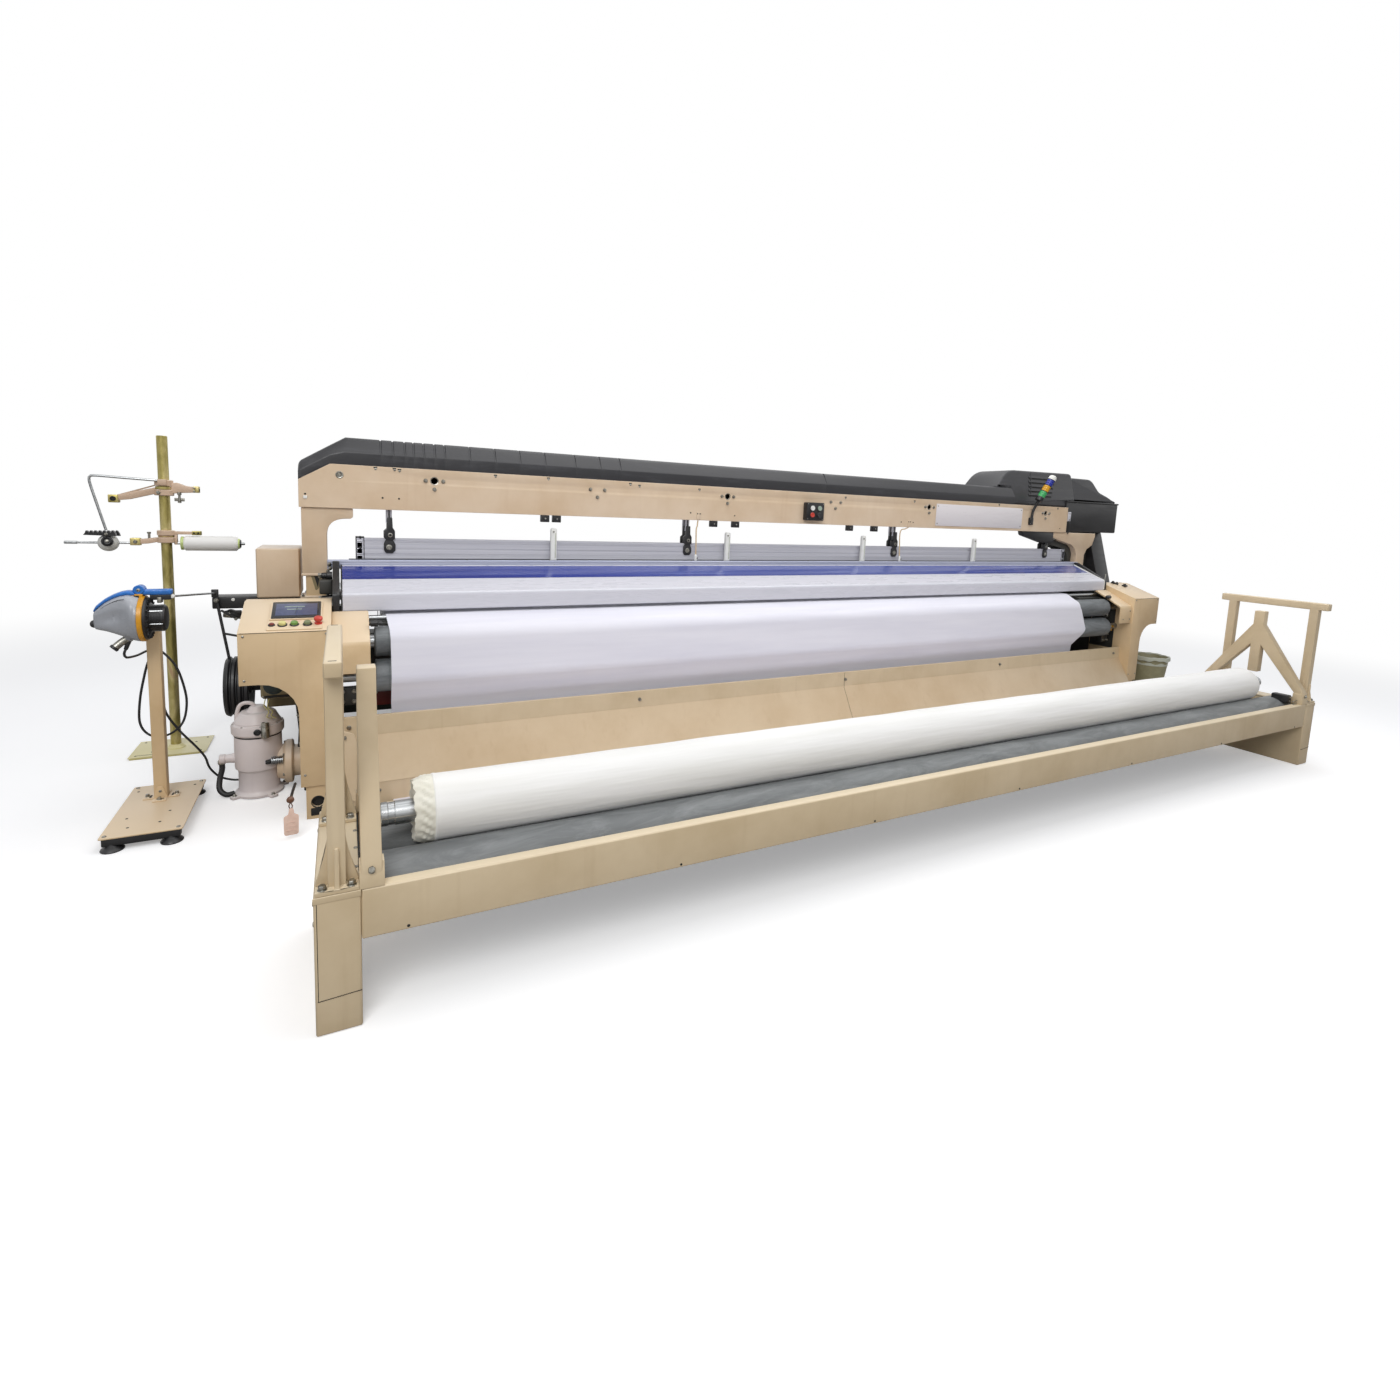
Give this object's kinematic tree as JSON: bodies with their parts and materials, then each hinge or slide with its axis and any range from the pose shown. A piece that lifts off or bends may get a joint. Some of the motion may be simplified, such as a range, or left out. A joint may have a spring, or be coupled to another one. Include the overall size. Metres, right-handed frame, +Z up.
{
  "type": "water jet loom",
  "caption": "Wide water jet loom with a white cloth running to a surface winding unit, a top beam with dobby, a weft feeder and a yarn stand.",
  "frame": {"origin": "on the floor under the middle of the machine's bounding box", "axes": "+X along the machine's width, to the right as seen by the weaver; +Y from the weaver towards the warp beam; +Z up"},
  "size_m": [8.062, 3.712, 1.95],
  "materials": {
    "beige_paint": "satin",
    "dark_cast_iron": "matt",
    "black_plastic": "satin",
    "grey_roller_rubber": "satin",
    "ground_steel": "ground",
    "aluminium_profile": "satin",
    "white_cloth": "matt",
    "white_yarn": "matt",
    "blue_clear_sheet": "glossy",
    "lilac_grey_paint": "satin",
    "yellow_zinc": "plated",
    "olive_plastic": "matt",
    "feeder_grey": "satin",
    "lamp_yellow": "glossy"
  },
  "bodies": {
    "loom": {"back_rest_roller": "ground_steel", "beam_cover": "black_plastic", "beam_front_plate": "beige_paint", "beam_rear_plate": "beige_paint", "belt_guard_arm": "black_plastic", "breast_bar": "ground_steel", "button_station": "black_plastic", "chain_guard": "black_plastic", "cloth_web": "white_cloth", "control_panel": "black_plastic", "dobby_housing": "black_plastic", "drive_motor": "lilac_grey_paint", "feeder_body": "feeder_grey", "feeder_cable": "black_plastic", "feeder_drum": "black_plastic", "feeder_stand": "beige_paint", "front_cross_beam": "dark_cast_iron", "front_skirt": "beige_paint", "guide_arm": "beige_paint", "guide_rail": "aluminium_profile", "left_cabinet": "beige_paint", "left_hand_guard": "beige_paint", "left_heald_guide": "dark_cast_iron", "left_post": "beige_paint", "left_rear_box": "beige_paint", "left_roll_guide": "beige_paint", "left_roller_shield": "beige_paint", "left_side_frame": "dark_cast_iron", "motor_hose": "black_plastic", "package_arm": "beige_paint", "pump_box": "olive_plastic", "rear_cross_beam": "dark_cast_iron", "right_cabinet": "beige_paint", "right_hand_guard": "beige_paint", "right_heald_guide": "dark_cast_iron", "right_post": "beige_paint", "right_roll_guide": "beige_paint", "right_roller_shield": "beige_paint", "right_side_frame": "dark_cast_iron", "signal_lamp": "lamp_yellow", "warp_beam": "aluminium_profile", "warp_sheet": "white_yarn", "waste_bucket": "olive_plastic", "winder_front_beam": "beige_paint", "winder_left_end": "beige_paint", "winder_rear_beam": "beige_paint", "winder_right_end": "beige_paint", "yarn_package": "white_yarn", "yarn_stand": "yellow_zinc"},
    "upper_takeup": {"takeup_roller_upper": "grey_roller_rubber"},
    "lower_takeup": {"takeup_roller_lower": "grey_roller_rubber"},
    "front_drum": {"winder_front_roller": "grey_roller_rubber"},
    "rear_drum": {"winder_rear_roller": "grey_roller_rubber"},
    "wound_cloth": {"cloth_roll": "white_cloth", "roll_shaft": "ground_steel"},
    "front_heald": {"heald_frame_front": "aluminium_profile"},
    "rear_heald": {"heald_frame_rear": "aluminium_profile"},
    "cover": {"splash_cover": "blue_clear_sheet"},
    "wheel": {"drive_wheel": "black_plastic"}
  },
  "joints": [
    {"name": "takeup_upper_spin", "type": "hinge", "parent": "loom", "child": "upper_takeup", "pos_m": [0.271, -0.231, 0.785], "axis": [1, 0, 0], "continuous": true},
    {"name": "takeup_lower_spin", "type": "hinge", "parent": "loom", "child": "lower_takeup", "pos_m": [0.271, -0.247, 0.62], "axis": [1, 0, 0], "continuous": true},
    {"name": "winder_front_spin", "type": "hinge", "parent": "loom", "child": "front_drum", "pos_m": [0.271, -1.684, 0.32917], "axis": [1, 0, 0], "continuous": true},
    {"name": "winder_rear_spin", "type": "hinge", "parent": "loom", "child": "rear_drum", "pos_m": [0.271, -1.454, 0.32917], "axis": [1, 0, 0], "continuous": true},
    {"name": "cloth_roll_spin", "type": "hinge", "parent": "loom", "child": "wound_cloth", "pos_m": [0.271, -1.569, 0.495], "axis": [1, 0, 0], "continuous": true},
    {"name": "heald_front_lift", "type": "slide", "parent": "loom", "child": "front_heald", "axis": [0, 0, 1], "range_m": [-0.03, 0.03]},
    {"name": "heald_rear_lift", "type": "slide", "parent": "loom", "child": "rear_heald", "axis": [0, 0, 1], "range_m": [-0.03, 0.03]},
    {"name": "splash_cover_lift", "type": "hinge", "parent": "loom", "child": "cover", "pos_m": [0.271, 0.1525, 1.112], "axis": [-1, 0, 0], "range_deg": [0, 70]},
    {"name": "drive_wheel_spin", "type": "hinge", "parent": "loom", "child": "wheel", "pos_m": [-3.217, 0.326, 0.475], "axis": [1, 0, 0], "continuous": true}
  ],
  "couplings": [
    {"joint": "takeup_lower_spin", "follows": "takeup_upper_spin", "ratio": 0.92405},
    {"joint": "winder_rear_spin", "follows": "winder_front_spin", "ratio": 1},
    {"joint": "cloth_roll_spin", "follows": "winder_front_spin", "ratio": -0.8937},
    {"joint": "heald_rear_lift", "follows": "heald_front_lift", "ratio": -1}
  ]
}
